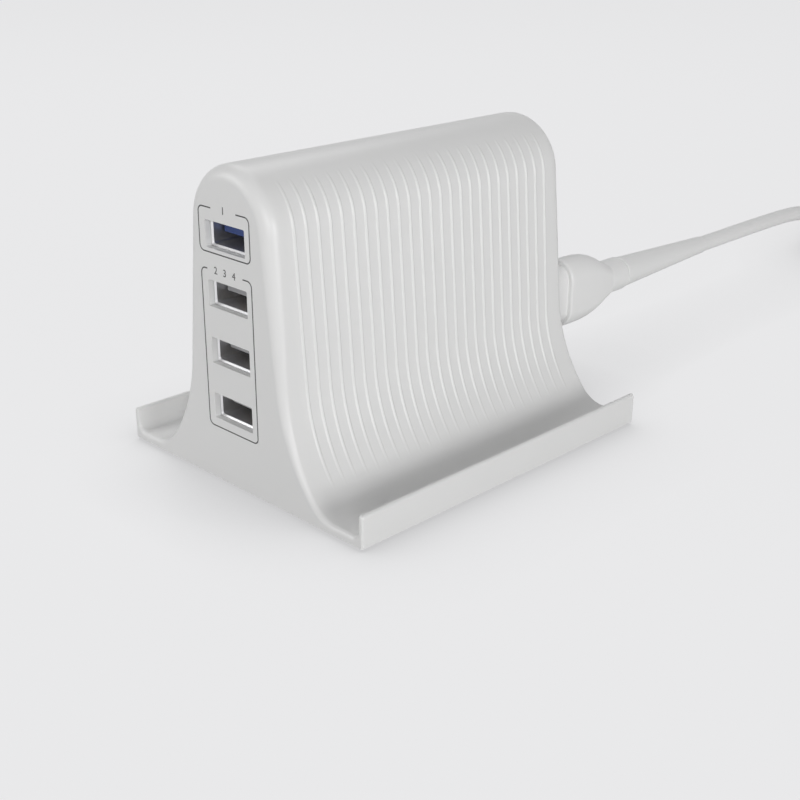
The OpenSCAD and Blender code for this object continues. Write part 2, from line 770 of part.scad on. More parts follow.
// A round tube along a route: each ring is square to the route at its own point
tube_sides = 8;
function unit(v) = v / norm(v);
function route_dir(route, i) =
    unit(route[min(i + 1, len(route) - 1)] - route[max(i - 1, 0)]);
function route_ring(route, i, r) = let (
    d = route_dir(route, i),
    side = unit(cross(d, [0, 0, 1])),
    rise = cross(side, d)
) [for (j = [0:tube_sides - 1])
    route[i] + r * (cos(360 * j / tube_sides) * side + sin(360 * j / tube_sides) * rise)];

module cord_tube(route) {
    points = [for (i = [0:len(route) - 1]) each route_ring(route, i, cord_d / 2)];
    polyhedron(points, tube_faces(len(route), tube_sides));
}

module power_cord() color("whitesmoke") cord_tube(cord_route);

module cord_tail() color("whitesmoke") cord_tube(tail_route);

module coil_section(grow = 0) {
    translate([coil_in_r - grow, coil_z - grow])
        square([coil_low_w + 2 * grow, cord_d + 2 * grow]);
    translate([coil_in_r + cord_d / 2 - grow, coil_z - grow])
        square([coil_high_w + 2 * grow, 2 * cord_d + 2 * grow]);
}

module cord_coil() color("whitesmoke") translate([coil_x, coil_y, 0])
    rotate_extrude() coil_section();

module coil_tie() color("dimgray") translate([coil_x, coil_y, 0]) intersection() {
    rotate_extrude() difference() {
        coil_section(tie_gap + tie_t);
        coil_section(tie_gap);
    }
    rotate([0, 0, tie_angle]) translate([0, -tie_w / 2, -1])
        cube([coil_mid_r * 2, tie_w, 4 * cord_d]);
}

// Mains plug: tapered grip, turned in plan about the end of the tail
module at_mains_plug() {
    translate(mains_at) rotate([0, 0, mains_turn]) children();
}

module mains_slab(x, w, t) {
    translate([x, 0, 0]) rotate([0, 90, 0]) linear_extrude(0.1) hull()
        for (a = [-1, 1], b = [-1, 1])
            translate([a * (t / 2 - mains_r), b * (w / 2 - mains_r)]) circle(mains_r, $fn = 20);
}

module mains_plug_body() color("whitesmoke") at_mains_plug() {
    hull() {
        mains_slab(cord_gap, mains_neck[0], mains_neck[1]);
        mains_slab(mains_l * 0.35, mains_w * 0.72, mains_t * 0.94);
        mains_slab(mains_l * 0.62, mains_w, mains_t);
        mains_slab(mains_l - 0.1, mains_w, mains_t);
    }
}

module mains_plug_blades() color("silver") at_mains_plug() for (s = [-1, 1])
    translate([mains_l, s * blade_pitch / 2 - blade_t / 2, -blade_h / 2]) difference() {
        cube([blade_l, blade_t, blade_h]);
        translate([blade_l - 4, -1, blade_h / 2]) rotate([-90, 0, 0])
            cylinder(d = blade_hole_d, h = blade_t + 2);
    }

housing();
base_plate();
base_screws();
rubber_feet();
port_board();
port_shell(1);  // port_shell_1
port_shell(2);  // port_shell_2
port_shell(3);  // port_shell_3
port_shell(4);  // port_shell_4
port_tongue(1);  // port_tongue_1
port_tongue(2);  // port_tongue_2
port_tongue(3);  // port_tongue_3
port_tongue(4);  // port_tongue_4
port_contacts(1);  // port_contacts_1
port_contacts(2);  // port_contacts_2
port_contacts(3);  // port_contacts_3
port_contacts(4);  // port_contacts_4
main_board();
board_link();
transformer_core();
transformer_bobbin();
transformer_winding();
bulk_capacitor();
output_capacitors();
filter_choke_core();
filter_choke_coils();
film_capacitor();
disc_capacitor();
fuse();
bridge_rectifier();
power_transistor();
heat_sink();
controller_chip();
inlet_body();
inlet_pins();
plug_nose();
plug_contacts();
plug_grip();
strain_relief();
power_cord();
cord_coil();
cord_tail();
coil_tie();
mains_plug_body();
mains_plug_blades();
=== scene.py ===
# %% [markdown]
# # A desktop charger, dressed for its picture
# The charger's solids are already made. This script loads them as a fixed frame and gives each
# visible piece its finish: a moulded white shell with fine ribs, plated sockets, a soft cord.
# Everything is in metres, in the same frame as the solids: X across, Y from the socket face to the
# cord, Z up from the table.

# %% Load the frame
import math
import bpy
from mathutils import Euler, Matrix, Vector


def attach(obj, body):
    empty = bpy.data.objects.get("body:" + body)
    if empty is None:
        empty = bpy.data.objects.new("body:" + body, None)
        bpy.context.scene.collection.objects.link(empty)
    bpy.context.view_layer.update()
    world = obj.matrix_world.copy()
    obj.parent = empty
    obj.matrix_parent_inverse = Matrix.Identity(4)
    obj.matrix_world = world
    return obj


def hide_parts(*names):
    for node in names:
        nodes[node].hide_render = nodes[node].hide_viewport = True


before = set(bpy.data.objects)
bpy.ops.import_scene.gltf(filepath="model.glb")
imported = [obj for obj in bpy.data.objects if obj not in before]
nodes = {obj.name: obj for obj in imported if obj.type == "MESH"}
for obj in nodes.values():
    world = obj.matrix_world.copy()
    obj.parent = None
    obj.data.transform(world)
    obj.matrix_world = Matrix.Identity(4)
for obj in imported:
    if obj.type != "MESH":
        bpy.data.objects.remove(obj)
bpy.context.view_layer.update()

MM = 0.001
ALONG_Y = (math.pi / 2, 0, 0)
print("pieces from the frame:", len(nodes))

# %% [markdown]
# ## Camera
# A product photograph is copied best when the camera comes first. The object fills the middle of a
# square picture, seen from the right front corner and a little from above, through a longish lens.
# Blender's camera looks along its own -Z, so it is tipped up from the floor by 90 degrees less the
# downward angle, turned round Z, and then rolled by a hair.

# %% Place the camera
CAMERA_PLACE = (211.757 * MM, -208.328 * MM, 131.639 * MM)
CAMERA_TURN = 44.890
CAMERA_DOWN = 22.483
CAMERA_ROLL = 0.184
CAMERA_LENS = 56.81

lens = bpy.data.cameras.new("camera")
lens.lens = CAMERA_LENS
lens.sensor_width = 36
lens.clip_start = 0.01
camera = bpy.data.objects.new("camera", lens)
bpy.context.scene.collection.objects.link(camera)
aim = Euler((math.radians(90 - CAMERA_DOWN), 0, math.radians(CAMERA_TURN))).to_matrix().to_4x4()
roll = Matrix.Rotation(math.radians(CAMERA_ROLL), 4, "Z")
camera.matrix_world = Matrix.Translation(CAMERA_PLACE) @ aim @ roll
bpy.context.scene.camera = camera
print("camera at", [round(v, 3) for v in camera.location])

# %% [markdown]
# ## Helpers
# An operator works on what is selected, and the frame leaves its pieces selected, so every step
# begins by selecting nothing. Edges and faces are picked in code by where they lie or face, and a
# finished piece rides on the charger's one body and takes its material.

# %% Select, start and finish
def select_only(piece=None):
    if bpy.context.object and bpy.context.object.mode != "OBJECT":
        bpy.ops.object.mode_set(mode="OBJECT")
    bpy.ops.object.select_all(action="DESELECT")
    if piece:
        piece.select_set(True)
        bpy.context.view_layer.objects.active = piece


def pick(piece, kind, test):
    """Selects the faces or edges of a piece that pass a test, and stays in edit mode."""
    select_only(piece)
    bpy.ops.object.mode_set(mode="EDIT")
    bpy.ops.mesh.select_mode(type="FACE" if kind == "faces" else "EDGE")
    bpy.ops.mesh.select_all(action="DESELECT")
    bpy.ops.object.mode_set(mode="OBJECT")
    mesh = piece.data
    for part in (mesh.polygons if kind == "faces" else mesh.edges):
        part.select = test(part)
    bpy.ops.object.mode_set(mode="EDIT")


def along(piece, axis):
    """A test for edges that run along one axis: 0 is X, 1 is Y, 2 is Z."""
    points = piece.data.vertices
    def test(edge):
        run = points[edge.vertices[1]].co - points[edge.vertices[0]].co
        return abs(run[axis]) > 0.999 * run.length
    return test


def settle(piece):
    """Puts a piece's place, turn and scale into its mesh."""
    select_only(piece)
    bpy.ops.object.transform_apply(location=True, rotation=True, scale=True)
    return piece


def use_modifier(piece, kind, **settings):
    select_only(piece)
    modifier = piece.modifiers.new(kind.lower(), kind)
    for name, value in settings.items():
        setattr(modifier, name, value)
    bpy.ops.object.modifier_apply(modifier=modifier.name)


def soften(piece, angle=35):
    select_only(piece)
    bpy.ops.object.shade_smooth_by_angle(angle=math.radians(angle))
    use_modifier(piece, "WEIGHTED_NORMAL", keep_sharp=True)


def dress(piece, name, material, replaced=()):
    """Names a finished piece, gives it its material and lets it ride on the charger."""
    piece.name = name
    piece.data.name = name
    piece.data.materials.clear()
    piece.data.materials.append(material)
    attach(piece, "root")
    if replaced:
        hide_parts(*replaced)
    print(name, "faces:", len(piece.data.polygons))
    return piece

# %% [markdown]
# Two kinds of start cover most of the small pieces: a block with its edges rounded, and a loft that
# grows from a ring, one extrusion at a time. Cuts are made with the Boolean modifier.

# %% Blocks, cuts and lofts
def block(low, high, round_axis=None, radius=0, segments=6):
    """A box between two corners in millimetres, rounded along one axis if asked."""
    low, high = Vector(low) * MM, Vector(high) * MM
    select_only()
    bpy.ops.mesh.primitive_cube_add(size=1, location=(low + high) / 2, scale=high - low)
    piece = settle(bpy.context.object)
    if round_axis is not None:
        pick(piece, "edges", along(piece, round_axis))
        bpy.ops.mesh.bevel(offset=radius * MM, segments=segments, affect="EDGES",
                           clamp_overlap=False)
        bpy.ops.mesh.select_all(action="SELECT")
        bpy.ops.mesh.remove_doubles(threshold=0.000002)
        bpy.ops.object.mode_set(mode="OBJECT")
    return piece


def combine(piece, other, operation="DIFFERENCE"):
    """Cuts or joins another piece and removes it."""
    use_modifier(piece, "BOOLEAN", operation=operation, solver="EXACT", object=other)
    bpy.data.objects.remove(other, do_unlink=True)
    return piece


def rod(centre, radius, length):
    """A round rod along Y."""
    select_only()
    bpy.ops.mesh.primitive_cylinder_add(vertices=32, radius=radius * MM, depth=length * MM,
                                        location=Vector(centre) * MM, rotation=ALONG_Y)
    return settle(bpy.context.object)


def loft(centre, stations, sides=48, straight=0.0):
    """A solid along Y: each station is its place along Y, its width and its height.
    straight is the share of the height that stays flat between two round ends."""
    select_only()
    bpy.ops.mesh.primitive_circle_add(vertices=sides, radius=0.5, fill_type="NGON",
                                      location=(0, 0, 0), rotation=ALONG_Y)
    piece = settle(bpy.context.object)
    for v in piece.data.vertices:
        apart = math.copysign(straight / 2, v.co.z) * min(1, abs(v.co.z) * 30)
        v.co.z = v.co.z * (1 - straight) + apart
    y, w, h = stations[0]
    piece.data.transform(Matrix.Translation((centre[0] * MM, y * MM, centre[1] * MM))
                         @ Matrix.Diagonal((w * MM, 1, h * MM, 1)))
    select_only(piece)
    bpy.ops.object.mode_set(mode="EDIT")
    bpy.ops.mesh.select_all(action="SELECT")
    middle = Vector((centre[0] * MM, 0, centre[1] * MM))
    for (y0, w0, h0), (y1, w1, h1) in zip(stations, stations[1:]):
        bpy.ops.mesh.extrude_region_move(TRANSFORM_OT_translate={"value": (0, (y1 - y0) * MM, 0)})
        bpy.ops.transform.resize(value=(w1 / w0, 1, h1 / h0), center_override=middle)
    bpy.ops.mesh.select_all(action="SELECT")
    bpy.ops.mesh.normals_make_consistent(inside=False)
    bpy.ops.object.mode_set(mode="OBJECT")
    return piece

# %% [markdown]
# ## Materials
# The shell, the plug and the cord are all white plastic, but not one white. The shell is hard and
# satin with a fine mould texture, the cord is softer and duller. Every finish is a small node tree:
# a noise that moves the colour slightly, the same noise in the roughness, and a fine bump.

# %% Finishes
CLOUD_SCALE = 45.0
ROUGH_SPREAD = 0.05
BUMP_DEPTH = 0.0001


def finish(name, colour, rough=0.4, metal=0.0, grain=900.0, vary=0.03, bump=0.05, coat=0.0):
    material = bpy.data.materials.new(name)
    material.use_nodes = True
    tree = material.node_tree
    add, link = tree.nodes.new, tree.links.new
    shader = tree.nodes["Principled BSDF"]
    shader.inputs["Metallic"].default_value = metal
    shader.inputs["Coat Weight"].default_value = coat
    place = add("ShaderNodeTexCoord")
    cloud = add("ShaderNodeTexNoise")
    cloud.inputs["Scale"].default_value = CLOUD_SCALE
    cloud.inputs["Detail"].default_value = 3.0
    link(place.outputs["Object"], cloud.inputs["Vector"])
    shade = add("ShaderNodeMix")
    shade.data_type = "RGBA"
    shade.inputs[6].default_value = [c * (1 - vary) for c in colour] + [1]
    shade.inputs[7].default_value = [min(1, c * (1 + vary)) for c in colour] + [1]
    link(cloud.outputs["Fac"], shade.inputs[0])
    link(shade.outputs[2], shader.inputs["Base Color"])
    gloss = add("ShaderNodeMapRange")
    gloss.inputs["To Min"].default_value = rough - ROUGH_SPREAD
    gloss.inputs["To Max"].default_value = rough + ROUGH_SPREAD
    link(cloud.outputs["Fac"], gloss.inputs["Value"])
    link(gloss.outputs["Result"], shader.inputs["Roughness"])
    fine = add("ShaderNodeTexNoise")
    fine.inputs["Scale"].default_value = grain
    fine.inputs["Detail"].default_value = 2.0
    link(place.outputs["Object"], fine.inputs["Vector"])
    relief = add("ShaderNodeBump")
    relief.inputs["Strength"].default_value = bump
    relief.inputs["Distance"].default_value = BUMP_DEPTH
    link(fine.outputs["Fac"], relief.inputs["Height"])
    link(relief.outputs["Normal"], shader.inputs["Normal"])
    return material


white_shell = finish("white_shell", (0.80, 0.80, 0.795), rough=0.36, grain=2500, vary=0.008, bump=0.10)
white_base = finish("white_base", (0.76, 0.76, 0.755), rough=0.5, grain=1800, vary=0.01, bump=0.2)
white_cord = finish("white_cord", (0.86, 0.86, 0.855), rough=0.45, grain=1500, vary=0.012, bump=0.08)
socket_steel = finish("socket_steel", (0.70, 0.70, 0.71), rough=0.4, metal=1.0, vary=0.04, bump=0.03)
nickel = finish("nickel", (0.74, 0.71, 0.64), rough=0.25, metal=1.0, vary=0.03, bump=0.03)
screw_steel = finish("screw_steel", (0.56, 0.56, 0.58), rough=0.35, metal=1.0, vary=0.05)
gold = finish("gold", (0.83, 0.60, 0.28), rough=0.25, metal=1.0, vary=0.03)
aluminium = finish("aluminium", (0.75, 0.75, 0.76), rough=0.4, metal=1.0, vary=0.03, bump=0.1)
ferrite = finish("ferrite", (0.07, 0.07, 0.075), rough=0.6, vary=0.15, bump=0.3)
black_plastic = finish("black_plastic", (0.025, 0.025, 0.028), rough=0.45, vary=0.1, bump=0.15)
blue_plastic = finish("blue_plastic", (0.01, 0.045, 0.22), rough=0.35, vary=0.08)
# The tongues of sockets 2 to 4 are white plastic; this mid grey is painted shade, standing in for the
# shade inside the sockets.
white_plastic_painted_shade = finish("white_plastic_painted_shade", (0.36, 0.36, 0.37), rough=0.45, vary=0.05)
board_green = finish("board_green", (0.015, 0.13, 0.05), rough=0.3, vary=0.2, bump=0.05, coat=0.3)
tan_plastic = finish("tan_plastic", (0.38, 0.27, 0.13), rough=0.4, vary=0.06)
yellow_tape = finish("yellow_tape", (0.72, 0.50, 0.05), rough=0.3, vary=0.05)
copper = finish("copper", (0.60, 0.22, 0.08), rough=0.35, metal=0.8, grain=1200, vary=0.12, bump=0.5)
sleeve_black = finish("sleeve_black", (0.02, 0.02, 0.024), rough=0.25, vary=0.1, coat=0.4)
sleeve_blue = finish("sleeve_blue", (0.02, 0.07, 0.2), rough=0.25, vary=0.1, coat=0.4)
foot_rubber = finish("foot_rubber", (0.2, 0.2, 0.205), rough=0.8, vary=0.08, bump=0.4)
tie_grey = finish("tie_grey", (0.12, 0.12, 0.125), rough=0.9, grain=2200, vary=0.15, bump=0.6)
print_grey = finish("print_grey", (0.07, 0.07, 0.072), rough=0.6, vary=0.03, bump=0.02)

# %% [markdown]
# The pieces inside the charger keep their solids and only take a finish. They show through the
# sockets, the mains inlet and the vent slots underneath.

# %% Finish the solids that stay
KEPT = {
    "base_plate": white_base, "base_screws": screw_steel, "rubber_feet": foot_rubber,
    "port_board": board_green, "main_board": board_green, "board_link": black_plastic,
    "transformer_core": ferrite, "transformer_bobbin": tan_plastic,
    "transformer_winding": yellow_tape, "bulk_capacitor": sleeve_black,
    "output_capacitors": sleeve_blue, "filter_choke_core": ferrite,
    "filter_choke_coils": copper, "film_capacitor": yellow_tape, "disc_capacitor": blue_plastic,
    "fuse": black_plastic, "bridge_rectifier": black_plastic, "power_transistor": black_plastic,
    "heat_sink": aluminium, "controller_chip": black_plastic, "inlet_body": black_plastic,
    "inlet_pins": nickel, "plug_contacts": gold, "mains_plug_blades": nickel,
    # Tongues 2 to 4 are white plastic given a mid grey: painted shade.
    "port_tongue_1": blue_plastic, "port_tongue_2": white_plastic_painted_shade,
    "port_tongue_3": white_plastic_painted_shade, "port_tongue_4": white_plastic_painted_shade,
    "port_contacts_1": gold, "port_contacts_2": gold, "port_contacts_3": gold,
    "port_contacts_4": gold,
}
for name, material in KEPT.items():
    nodes[name].data.materials.clear()
    nodes[name].data.materials.append(material)
print("solids that keep their shape:", len(KEPT))

# %% [markdown]
# ## The cord
# A charger's cord is one length of soft round cable. It leaves its strain relief level, sags to the
# table, and winds into a coil of two layers: four turns inwards on the table, then back out over
# them. From the top of the coil it swings round to the mains plug. The line below is that cable's
# middle, written as points, and a curve gives it its round body.

# %% Route of the cord
CORD_D = 4.8
INLET_X, PLUG_Z = 6.3, 25.3
PLUG_FACE_Y, GRIP_Y, COLLAR_Y, CORD_Y = 44.1, 59.3, 79.3, 131.3
COIL_X, COIL_Y, COIL_Z = 25.0, 262.0, 0.8
LOW_Z = COIL_Z + CORD_D / 2

lead = [
    (INLET_X, CORD_Y, PLUG_Z), (INLET_X, 141.3, PLUG_Z), (INLET_X, 154, 25.4),
    (INLET_X, 167, 25.4), (INLET_X, 179, 25.3), (INLET_X, 190, 24.8), (5.9, 200, 23.3),
    (4.3, 210, 20.4), (1.2, 220, 16.2), (-3.2, 230, 11.4), (-8, 238, 7.7), (-11.8, 246, 5),
    (-13.6, 254, 3.6), (-14.05, 259, 3.2),
]


def coil_point(angle, radius, height):
    a = math.radians(angle)
    return (COIL_X + radius * math.cos(a), COIL_Y + radius * math.sin(a), height)


LOW_START_R, PITCH = 39.05, CORD_D + 0.02
COIL_START, LOW_TURN, CLIMB, UP_TURN, UP_END_R = 180, 4 * 360, 110, 955, 36.6
coil = []
for step in range(0, LOW_TURN, 24):
    coil.append(coil_point(COIL_START - step, LOW_START_R - PITCH * step / 360, LOW_Z))
for step in range(0, CLIMB, 22):
    lean = math.radians(90 * step / CLIMB)
    beside = LOW_START_R - PITCH * (LOW_TURN - 360 + step) / 360
    coil.append(coil_point(COIL_START - step, beside - PITCH * math.cos(lean),
                           LOW_Z + PITCH * math.sin(lean)))
up_start_r = LOW_START_R - PITCH * (LOW_TURN - 360 + CLIMB) / 360
for step in range(0, UP_TURN + 1, 23):
    radius = up_start_r + (UP_END_R - up_start_r) * step / UP_TURN
    coil.append(coil_point(COIL_START - CLIMB - step, radius, LOW_Z + PITCH))
tail = [
    (-13.2, 262, 8.1), (-15.3, 272, 8), (-16, 282, 7), (-15, 291.6, 5.4), (-12.2, 300.5, 4.1),
    (-7.8, 308.2, 3.6), (-2, 314, 4.4), (4.8, 317.7, 6.4), (12, 319, 8.5), (17, 319, 8.5),
]
route = lead + coil + tail

# %% Make the cord
line = bpy.data.curves.new("power_cord", "CURVE")
line.dimensions = "3D"
line.resolution_u = 5
line.bevel_depth = CORD_D / 2 * MM
line.bevel_resolution = 5
line.use_fill_caps = True
spline = line.splines.new("BEZIER")
spline.bezier_points.add(len(route) - 1)
for point, place in zip(spline.bezier_points, route):
    point.co = Vector(place) * MM
    point.handle_left_type = point.handle_right_type = "AUTO"
cord = bpy.data.objects.new("mains_cord", line)
bpy.context.scene.collection.objects.link(cord)
cord.data.materials.append(white_cord)
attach(cord, "root")
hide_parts("power_cord", "cord_coil", "cord_tail")

# %% [markdown]
# ## The housing
# The shell is one moulding: a rounded tower that flares into a tray with a lip on each side. A
# subdivision grid is the natural start, because every feature runs along the outline or along the
# depth: the grid is wrapped over the outline like a sheet, raised where a rib runs, and rolled in
# at both ends by a radius that grows from the tray to the crown, as the real edge does.

# %% Outline of the tower and trays
BASE_Z = 0.8
BODY_W, BODY_D, TOWER_H = 83.0, 97.0, 75.0
CROWN_R, SIDE_LEAN, SWEEP_R, TOE_R, TOE_LEAN = 14.0, 4.6, 40.0, 8.5, 40.0
TRAY_T, LIP_H, LIP_T, LIP_CORNER_R = 2.1, 7.8, 1.4, 2.0
EDGE_R_LOW, EDGE_R_TOP, LIP_EDGE_R = 1.3, 3.4, 0.6
RIB_RELIEF, RIB_FADE, RIB_FOOT_LEAN = 0.35, 0.5, 37.0
FRONT_Y, REAR_Y = -BODY_D / 2, BODY_D / 2
LIP_STEPS, CORNER_STEPS, TOE_STEPS, SWEEP_STEPS, SIDE_STEPS, CROWN_STEPS = 10, 8, 12, 26, 12, 36


def lean_dir(angle):
    return Vector((math.cos(math.radians(angle)), math.sin(math.radians(angle))))


CROWN_Z = TOWER_H - CROWN_R
lean_n = lean_dir(SIDE_LEAN)
side_top = Vector((0, CROWN_Z)) + CROWN_R * lean_n
toe_z = TRAY_T + TOE_R * (1 - math.sin(math.radians(TOE_LEAN)))
side_low_z = toe_z + SWEEP_R * (math.sin(math.radians(TOE_LEAN))
                                - math.sin(math.radians(SIDE_LEAN)))
side_low_x = side_top.x + (side_top.y - side_low_z) * math.tan(math.radians(SIDE_LEAN))
side_low = Vector((side_low_x, side_low_z))
sweep_c = side_low + SWEEP_R * lean_n
toe_c = sweep_c - (SWEEP_R - TOE_R) * lean_dir(TOE_LEAN)
lip_in_x = BODY_W / 2 - LIP_T


def edge_r(z):
    share = max(0, min(1, (z - toe_z) / (CROWN_Z - toe_z)))
    return EDGE_R_LOW + (EDGE_R_TOP - EDGE_R_LOW) * share


def rib_on_crown(angle):
    shift = (RIB_RELIEF + RIB_FADE) / math.cos(math.radians(SIDE_LEAN))
    a = math.radians(angle)
    reach = math.sqrt((CROWN_R - RIB_FADE) ** 2 - (shift * math.sin(a)) ** 2)
    return max(0, shift * math.cos(a) + reach - CROWN_R)


def rib_on_sweep(angle):
    shift = RIB_RELIEF / (1 - math.cos(math.radians(RIB_FOOT_LEAN - SIDE_LEAN)))
    a = math.radians(angle - SIDE_LEAN)
    reach = math.sqrt((SWEEP_R + shift - RIB_RELIEF) ** 2 - (shift * math.sin(a)) ** 2)
    return max(0, SWEEP_R + shift * math.cos(a) - reach)


def arc(centre, radius, start, end, steps, hollow, rib=None):
    found = []
    for i in range(steps + 1):
        angle = start + (end - start) * i / steps
        n = lean_dir(angle)
        p = centre + (-radius if hollow else radius) * n
        found.append((p, n, edge_r(p.y), rib(angle) if rib else 0))
    return found


half = [(Vector((BODY_W / 2, 0)), Vector((1, 0)), LIP_EDGE_R, 0)]
lip_c = Vector((BODY_W / 2 - LIP_T / 2, LIP_H - LIP_T / 2))
half += [(p, n, LIP_EDGE_R, 0) for p, n, r, rib in arc(lip_c, LIP_T / 2, 0, 180, LIP_STEPS, False)]
for i in range(CORNER_STEPS + 1):
    n = -lean_dir(-90 * i / CORNER_STEPS)
    p = Vector((lip_in_x - LIP_CORNER_R, TRAY_T + LIP_CORNER_R)) - LIP_CORNER_R * n
    half.append((p, n, LIP_EDGE_R + (EDGE_R_LOW - LIP_EDGE_R) * i / CORNER_STEPS, 0))
half += arc(toe_c, TOE_R, 90, TOE_LEAN, TOE_STEPS, True)
half += arc(sweep_c, SWEEP_R, TOE_LEAN, SIDE_LEAN, SWEEP_STEPS, True, rib_on_sweep)[1:]
for i in range(1, SIDE_STEPS):
    p = side_low + (side_top - side_low) * i / SIDE_STEPS
    half.append((p, lean_n, edge_r(p.y), RIB_RELIEF))
half += arc(Vector((0, CROWN_Z)), CROWN_R, SIDE_LEAN, 90, CROWN_STEPS, False, rib_on_crown)
mirrored = [(Vector((-p.x, p.y)), Vector((-n.x, n.y)), r, rib) for p, n, r, rib in half[-2::-1]]
outline = half + mirrored
print("stations round the outline:", len(outline))

# %% Columns along the depth
RIB_COUNT, RIB_PITCH, RIB_HALF_W = 25, 3.45, 0.55
RIB_TOP = 0.25
ROLL_STEPS, RIB_STEPS = 8, 8
FLAT_INSET = 4.6
columns = []
for k in range(ROLL_STEPS + 1):
    columns.append(("front", 90 * k / ROLL_STEPS, 0))
columns.append(("flat", FRONT_Y + FLAT_INSET, 0))
for i in range(RIB_COUNT):
    middle = (i - (RIB_COUNT - 1) / 2) * RIB_PITCH
    for k in range(RIB_STEPS + 1):
        t = -1 + 2 * k / RIB_STEPS
        slope = max(0, (abs(t) - RIB_TOP) / (1 - RIB_TOP))
        columns.append(("flat", middle + t * RIB_HALF_W, 0.5 + 0.5 * math.cos(math.pi * slope)))
columns.append(("flat", REAR_Y - FLAT_INSET, 0))
for k in range(ROLL_STEPS, -1, -1):
    columns.append(("rear", 90 * k / ROLL_STEPS, 0))


def shell_point(station, column):
    """Where one crossing of the wrapped grid lies."""
    p, n, r, rib = station
    kind, value, raised = column
    if kind == "flat":
        p = p + n * rib * raised
        return Vector((p.x, value, p.y + BASE_Z)) * MM
    roll = math.radians(value)
    p = p - n * r * (1 - math.sin(roll))
    depth = r * (1 - math.cos(roll))
    y = FRONT_Y + depth if kind == "front" else REAR_Y - depth
    return Vector((p.x, y, p.y + BASE_Z)) * MM


select_only()
bpy.ops.mesh.primitive_grid_add(x_subdivisions=len(columns) - 1,
                                y_subdivisions=len(outline) - 1, size=1)
shell = bpy.context.object
for v in shell.data.vertices:
    i = round((v.co.x + 0.5) * (len(columns) - 1))
    j = round((v.co.y + 0.5) * (len(outline) - 1))
    v.co = shell_point(outline[j], columns[i])
print("grid points:", len(shell.data.vertices))

# %% [markdown]
# The wrapped sheet is open underneath and at both ends. Its two long border rows are bridged for
# the underside, and the holes left at the ends are filled. The cavity, the four socket openings and
# the inlet's opening are then cut, as they are in the real moulding.

# %% Close the shell and cut its openings
low_z = (BASE_Z + 0.001) * MM


def bottom_row(edge):
    return all(shell.data.vertices[i].co.z < low_z for i in edge.vertices)


pick(shell, "edges", bottom_row)
bpy.ops.mesh.bridge_edge_loops()
bpy.ops.mesh.select_all(action="SELECT")
bpy.ops.mesh.fill_holes(sides=0)
bpy.ops.mesh.select_all(action="SELECT")
bpy.ops.mesh.normals_make_consistent(inside=False)
bpy.ops.object.mode_set(mode="OBJECT")

WALL_T, END_WALL_T, BASE_W = 2.0, 2.0, 46.0
PORT_X, PORT_W, PORT_H, PORT_CORNER_R = -0.7, 13.6, 6.22, 0.35
PORT_LOW_Z, PORT_STEP = 18.7, 13.5
PORT_Z = [BASE_Z + PORT_LOW_Z + PORT_STEP * i for i in (3, 2, 1, 0)]
INLET_HALF_W, INLET_HALF_H, INLET_END_R = 5.9, 10.2, 5.88
CAVITY_LOW_Z, CUT_PAST = 6, 1


def cavity():
    """The hollow inside the tower: its outline moved in by the wall, over the depth between ends."""
    inner = []
    for p, n, r, rib in outline:
        q = p - n * WALL_T
        if q.y > CAVITY_LOW_Z and abs(q.x) <= BASE_W / 2 and n.y >= 0:
            inner.append(q)
    edge = BASE_W / 2
    right = [Vector((edge, -CUT_PAST)), Vector((edge, inner[0].y))]
    left = [Vector((-edge, inner[0].y)), Vector((-edge, -CUT_PAST))]
    ring = right + inner + left
    select_only()
    bpy.ops.mesh.primitive_circle_add(vertices=len(ring), radius=1, fill_type="NGON")
    core = bpy.context.object
    for v, q in zip(core.data.vertices, ring):
        v.co = Vector((q.x, FRONT_Y + END_WALL_T, q.y + BASE_Z)) * MM
    bpy.ops.object.mode_set(mode="EDIT")
    bpy.ops.mesh.select_all(action="SELECT")
    length = (BODY_D - 2 * END_WALL_T) * MM
    bpy.ops.mesh.extrude_region_move(TRANSFORM_OT_translate={"value": (0, length, 0)})
    bpy.ops.mesh.select_all(action="SELECT")
    bpy.ops.mesh.normals_make_consistent(inside=False)
    bpy.ops.object.mode_set(mode="OBJECT")
    return core


combine(shell, cavity())
for z in PORT_Z:
    low = (PORT_X - PORT_W / 2, FRONT_Y - CUT_PAST, z - PORT_H / 2)
    high = (PORT_X + PORT_W / 2, FRONT_Y + END_WALL_T + CUT_PAST, z + PORT_H / 2)
    combine(shell, block(low, high, 1, PORT_CORNER_R, 4))
low = (INLET_X - INLET_HALF_W, REAR_Y - END_WALL_T - CUT_PAST, PLUG_Z - INLET_HALF_H)
high = (INLET_X + INLET_HALF_W, REAR_Y + CUT_PAST, PLUG_Z + INLET_HALF_H)
combine(shell, block(low, high, 1, INLET_END_R, 12))
soften(shell, 40)
dress(shell, "shell", white_shell, ["housing"])

# %% [markdown]
# ## Printed frames and numbers
# Two thin grey frames are printed round the sockets, each open at the top for a label. The label's
# place holds a plain number for each socket. Print has almost no height, so each line is a sheet a
# few hundredths of a millimetre thick on the face.

# %% Print the frames
PRINT_T, LINE_W, FRAME_R = 0.02, 0.3, 1.5
FRAME_LEFT, FRAME_RIGHT = -9.8, 8.0


def printed_frame(low, high, gap, name):
    y0, y1 = FRONT_Y - PRINT_T, FRONT_Y + PRINT_T
    ring = block((low[0], y0, low[1]), (high[0], y1, high[1]), 1, FRAME_R, 8)
    combine(ring, block((low[0] + LINE_W, y0 - CUT_PAST, low[1] + LINE_W),
                        (high[0] - LINE_W, y1 + CUT_PAST, high[1] - LINE_W),
                        1, FRAME_R - LINE_W, 8))
    combine(ring, block((gap[0], y0 - CUT_PAST, high[1] - 1), (gap[1], y1 + CUT_PAST, high[1] + 1)))
    return dress(ring, name, print_grey)


printed_frame((FRAME_LEFT, BASE_Z + 55.0), (FRAME_RIGHT, BASE_Z + 65.3), (-5.2, 3.5),
              "print_frame_high")
printed_frame((FRAME_LEFT, BASE_Z + 13.3), (FRAME_RIGHT, BASE_Z + 51.4), (-7.5, 4.9),
              "print_frame_low")


TEXT_SIZE = 2.38


